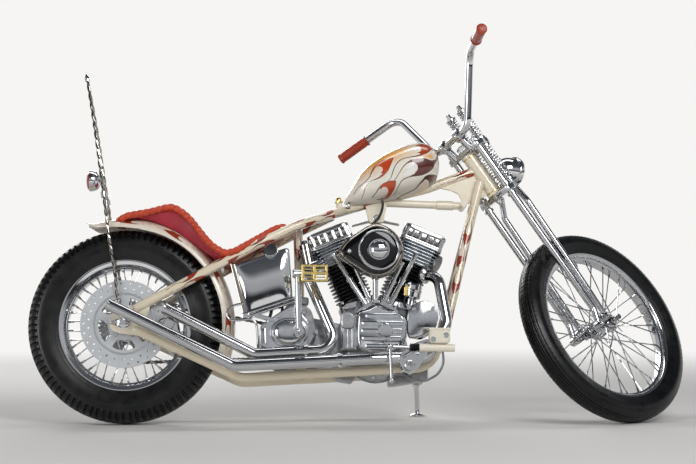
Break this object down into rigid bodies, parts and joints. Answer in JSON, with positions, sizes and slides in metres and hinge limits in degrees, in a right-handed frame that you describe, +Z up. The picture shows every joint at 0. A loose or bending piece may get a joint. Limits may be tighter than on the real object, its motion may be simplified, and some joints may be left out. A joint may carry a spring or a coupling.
{
  "type": "chopper motorcycle",
  "caption": "Rigid-frame chopper motorcycle with springer fork, flame-painted tank and fender, swooping seat and tall sissy bar, leaning on its side stand.",
  "frame": {"origin": "centre of the footprint's box, on the floor", "axes": "+X towards the front wheel, +Y to the rider's left, +Z up; the machine leans to +Y"},
  "size_m": [2.2506, 0.6334, 1.3164],
  "materials": {
    "tyre_rubber": "matte",
    "chrome": "polished",
    "bright_steel": "satin",
    "cream_paint": "gloss",
    "flame_paint": "gloss",
    "red_leather": "satin",
    "cast_barrel": "satin",
    "cast_alloy": "satin",
    "red_lens": "gloss",
    "oxblood_grip": "satin"
  },
  "bodies": {
    "rear_wheel": {"rear_tyre": "tyre_rubber", "rear_wheel_spoked": "chrome", "brake_disc": "bright_steel", "rear_sprocket": "bright_steel"},
    "front_wheel": {"front_tyre": "tyre_rubber", "front_wheel_spoked": "chrome"},
    "chassis": {"frame_backbone": "cream_paint", "frame_cradle_right": "cream_paint", "frame_cradle_left": "cream_paint", "rear_axle": "chrome", "rear_fender": "flame_paint", "fuel_tank": "flame_paint", "seat": "red_leather", "cylinder_rear": "cast_barrel", "rocker_box_rear": "chrome", "cylinder_front": "cast_barrel", "rocker_box_front": "chrome", "crankcase": "chrome", "cam_cover": "chrome", "generator": "chrome", "timer": "chrome", "pushrod_tubes": "chrome", "carburettor": "cast_alloy", "air_cleaner": "chrome", "exhaust_front": "chrome", "exhaust_rear": "chrome", "gearbox": "chrome", "kick_starter": "chrome", "primary_cover": "chrome", "drive_chain": "bright_steel", "oil_tank": "chrome", "sissy_bar": "chrome", "tail_lamp": "red_lens", "brake_caliper": "cast_alloy", "brake_control": "chrome", "clutch_control": "chrome"},
    "fork": {"fork_legs_rigid": "chrome", "top_tree": "chrome", "fork_legs_sprung": "chrome", "fork_springs": "chrome", "rockers": "chrome", "handlebar": "chrome", "grips": "oxblood_grip", "headlamp": "chrome"},
    "side_stand": {"side_stand": "chrome"}
  },
  "joints": [
    {"name": "steering", "type": "hinge", "parent": "chassis", "child": "fork", "pos_m": [0.45388, 0.00387, 0.77378], "axis": [-0.5584, 0.1298, 0.8194], "range_deg": [-77, 0]},
    {"name": "front_wheel_spin", "type": "hinge", "parent": "fork", "child": "front_wheel", "pos_m": [0.81775, -0.03059, 0.31691], "axis": [-0.5176, 0.7174, -0.4663], "continuous": true},
    {"name": "rear_wheel_spin", "type": "hinge", "parent": "chassis", "child": "rear_wheel", "pos_m": [-0.80155, -0.06741, 0.32377], "axis": [0, 0.9877, -0.1564], "continuous": true},
    {"name": "side_stand_fold", "type": "hinge", "parent": "chassis", "child": "side_stand", "pos_m": [0.18247, 0.0334, 0.12728], "axis": [0, 0.9877, -0.1564], "range_deg": [0, 80]}
  ]
}
